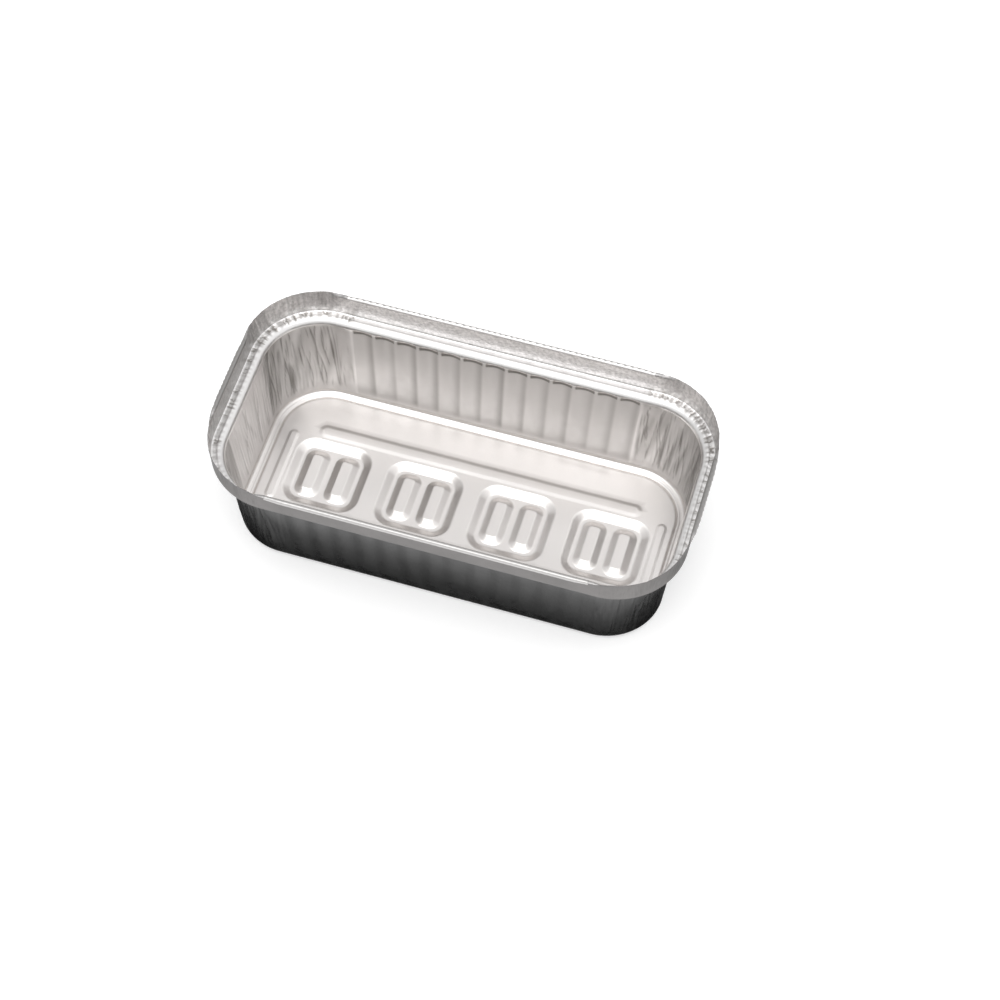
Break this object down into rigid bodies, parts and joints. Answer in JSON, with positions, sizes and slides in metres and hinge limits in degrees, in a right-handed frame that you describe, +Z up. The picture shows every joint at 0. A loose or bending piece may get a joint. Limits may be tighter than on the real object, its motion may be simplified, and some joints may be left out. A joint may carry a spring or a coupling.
{
  "type": "foil loaf pan",
  "caption": "Oblong foil loaf pan with an embossed floor, fluted walls, a ledge for a lid and straight rim flanges that fold inwards over it.",
  "frame": {"origin": "middle of the plane that the pan stands on with its four sunk floor pads", "axes": "+X along the pan, +Y towards its back long side, +Z up through its open top"},
  "size_m": [0.2042, 0.1068, 0.0602],
  "materials": {
    "foil_floor": "bright pressed foil",
    "foil_wall": "satin pressed foil, finely creased",
    "foil_ledge": "bright pressed foil",
    "foil_collar": "satin pressed foil",
    "foil_curl": "bright rolled edge"
  },
  "bodies": {
    "tray": {"floor_panel": "foil_floor", "heel_ring": "foil_floor", "floor_bead_front": "foil_floor", "floor_bead_back": "foil_floor", "floor_bead_left": "foil_floor", "floor_bead_right": "foil_floor", "floor_pad_1": "foil_floor", "floor_pad_2": "foil_floor", "floor_pad_3": "foil_floor", "floor_pad_4": "foil_floor", "wall_front": "foil_wall", "wall_back": "foil_wall", "wall_left": "foil_wall", "wall_right": "foil_wall", "wall_corner_front_left": "foil_wall", "wall_corner_front_right": "foil_wall", "wall_corner_back_left": "foil_wall", "wall_corner_back_right": "foil_wall", "ledge_front": "foil_ledge", "ledge_back": "foil_ledge", "ledge_left": "foil_ledge", "ledge_right": "foil_ledge", "ledge_corner_front_left": "foil_ledge", "ledge_corner_front_right": "foil_ledge", "ledge_corner_back_left": "foil_ledge", "ledge_corner_back_right": "foil_ledge", "collar_corner_front_left": "foil_collar", "collar_corner_front_right": "foil_collar", "collar_corner_back_left": "foil_collar", "collar_corner_back_right": "foil_collar"},
    "front_flange": {"flange_front": "foil_collar", "curl_front": "foil_curl"},
    "back_flange": {"flange_back": "foil_collar", "curl_back": "foil_curl"},
    "left_flange": {"flange_left": "foil_collar", "curl_left": "foil_curl"},
    "right_flange": {"flange_right": "foil_collar", "curl_right": "foil_curl"}
  },
  "joints": [
    {"name": "front_fold", "type": "hinge", "parent": "tray", "child": "front_flange", "pos_m": [0, -0.05115, 0.04885], "axis": [-1, 0, 0], "range_deg": [0, 84]},
    {"name": "back_fold", "type": "hinge", "parent": "tray", "child": "back_flange", "pos_m": [0, 0.05115, 0.04885], "axis": [1, 0, 0], "range_deg": [0, 84]},
    {"name": "left_fold", "type": "hinge", "parent": "tray", "child": "left_flange", "pos_m": [-0.0999, 0, 0.04885], "axis": [0, 1, 0], "range_deg": [0, 84]},
    {"name": "right_fold", "type": "hinge", "parent": "tray", "child": "right_flange", "pos_m": [0.0999, 0, 0.04885], "axis": [0, -1, 0], "range_deg": [0, 84]}
  ]
}
